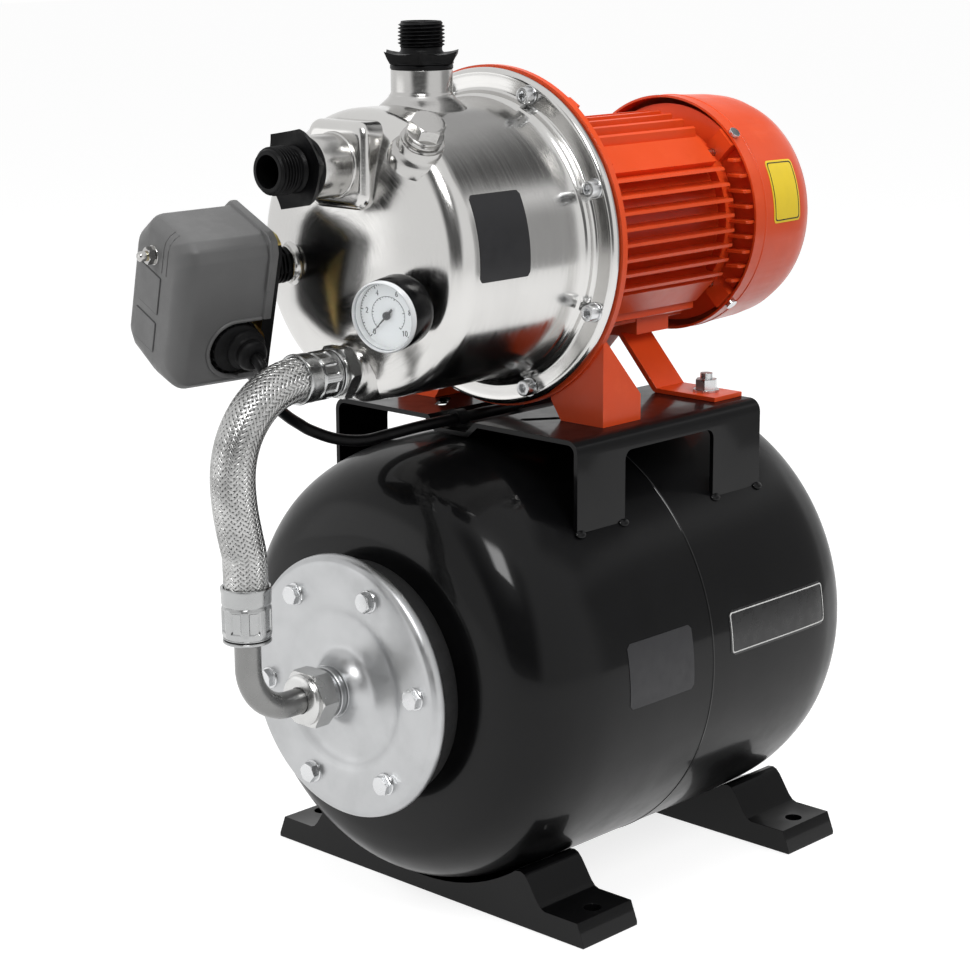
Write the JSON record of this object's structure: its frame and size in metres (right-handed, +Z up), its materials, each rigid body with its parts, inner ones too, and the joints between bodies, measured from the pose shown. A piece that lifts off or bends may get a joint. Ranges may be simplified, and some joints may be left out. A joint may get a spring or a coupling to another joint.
{
  "type": "shallow well jet pump with pressure tank",
  "caption": "Self-priming jet pump with a finned electric motor on a horizontal pressure tank, joined by a braided hose, with a pressure switch and a gauge.",
  "frame": {"origin": "centre of the four foot bolt holes, on the floor", "axes": "+Z up; the tank axis and the pump shaft lie along Y, and the pump inlet faces -Y; X is across, with the motor's terminal box on the -X side"},
  "size_m": [0.28, 0.475, 0.541],
  "materials": {
    "black_paint": "high gloss black enamel",
    "orange_paint": "gloss orange-red enamel",
    "polished_steel": "polished stainless steel",
    "zinc_steel": "bright zinc plated steel",
    "steel_braid": "rubber hose under a braided stainless jacket",
    "dark_steel": "plain electrical steel",
    "bearing_steel": "ground steel",
    "brass": "plain brass",
    "copper": "enamelled copper wire",
    "black_plastic": "black moulded plastic",
    "black_gloss_plastic": "black gloss plastic",
    "grey_plastic": "mid grey moulded plastic",
    "inner_plastic": "glass-filled plastic",
    "ceramic": "smooth ceramic",
    "carbon": "carbon ring",
    "rubber": "moulded rubber",
    "dial_white": "white dial",
    "needle_black": "black painted aluminium",
    "aluminium_can": "drawn aluminium can",
    "lens_clear": "clear lens",
    "lever_steel": "zinc plated pressed steel"
  },
  "bodies": {
    "pump_unit": {"tank_front_shell": "black_paint", "tank_rear_shell": "black_paint", "tank_flange": "zinc_steel", "tank_flange_bolts": "zinc_steel", "tank_bladder": "rubber", "tank_valve_body": "brass", "front_foot": "black_paint", "rear_foot": "black_paint", "pump_mount_plate": "black_paint", "cable_clip": "black_plastic", "pump_casing": "polished_steel", "inlet_adapter": "black_plastic", "outlet_adapter": "black_plastic", "ejector_housing": "inner_plastic", "ejector_nozzle": "brass", "diffuser": "inner_plastic", "seal_seat": "ceramic", "casing_gasket": "rubber", "casing_bolts": "zinc_steel", "motor_bracket": "orange_paint", "pump_mount_bolts": "zinc_steel", "motor_housing": "orange_paint", "stator_core": "dark_steel", "stator_windings": "copper", "motor_bearings": "bearing_steel", "rear_end_bell": "orange_paint", "motor_tie_bolts": "zinc_steel", "fan_cover": "orange_paint", "cover_screws": "zinc_steel", "terminal_box": "black_plastic", "terminal_box_lid": "black_plastic", "start_capacitor": "aluminium_can", "motor_support_strap": "orange_paint", "switch_base": "lever_steel", "switch_diaphragm": "rubber", "range_spring": "bearing_steel", "contact_block": "black_plastic", "cable_glands": "rubber", "switch_nipple": "black_paint", "gauge_case": "black_gloss_plastic", "gauge_dial": "dial_white", "gauge_lens": "lens_clear", "pressure_hose": "steel_braid", "hose_ferrules": "polished_steel", "hose_nuts": "zinc_steel", "hose_elbow": "zinc_steel", "motor_lead": "rubber"},
    "rotor": {"motor_shaft": "bearing_steel", "rotor_core": "dark_steel", "impeller": "brass", "cooling_fan": "black_plastic", "seal_rotating_ring": "carbon"},
    "plug": {"priming_plug": "polished_steel"},
    "valve_pin": {"tank_valve_pin": "brass"},
    "valve_cap": {"tank_valve_cap": "black_plastic"},
    "cover": {"switch_cover": "grey_plastic", "switch_cover_nut": "zinc_steel"},
    "plunger": {"switch_plunger": "bearing_steel"},
    "lever": {"contact_lever": "lever_steel"},
    "needle": {"gauge_needle": "needle_black"}
  },
  "joints": [
    {"name": "rotor_spin", "type": "hinge", "parent": "pump_unit", "child": "rotor", "pos_m": [0, 0, 0.408], "axis": [0, 1, 0], "continuous": true},
    {"name": "plug_unscrew", "type": "slide", "parent": "pump_unit", "child": "plug", "axis": [0.5887, -0.2079, 0.7812], "range_m": [0, 0.03]},
    {"name": "valve_press", "type": "slide", "parent": "pump_unit", "child": "valve_pin", "axis": [0, -1, 0], "range_m": [0, 0.0015], "stiffness_N_per_m": 400},
    {"name": "valve_cap_off", "type": "slide", "parent": "pump_unit", "child": "valve_cap", "axis": [0, 1, 0], "range_m": [0, 0.03]},
    {"name": "cover_off", "type": "slide", "parent": "pump_unit", "child": "cover", "axis": [-0.2053, -0.9781, -0.0325], "range_m": [0, 0.08]},
    {"name": "plunger_push", "type": "slide", "parent": "pump_unit", "child": "plunger", "axis": [-0.2053, -0.9781, -0.0325], "range_m": [0, 0.001], "stiffness_N_per_m": 400},
    {"name": "lever_tilt", "type": "hinge", "parent": "pump_unit", "child": "lever", "pos_m": [-0.06385, -0.22174, 0.37464], "axis": [0.9265, -0.1836, -0.3286], "range_deg": [0, 2.3], "deforming": ["range_spring"]},
    {"name": "needle_turn", "type": "hinge", "parent": "pump_unit", "child": "needle", "pos_m": [0.05928, -0.20909, 0.38345], "axis": [-0.2298, 0.9686, 0.0952], "range_deg": [0, 270], "stiffness_Nm_per_rad": 0.0002}
  ],
  "couplings": [
    {"joint": "lever_tilt", "follows": "plunger_push", "rad_per_m": 38.46}
  ]
}
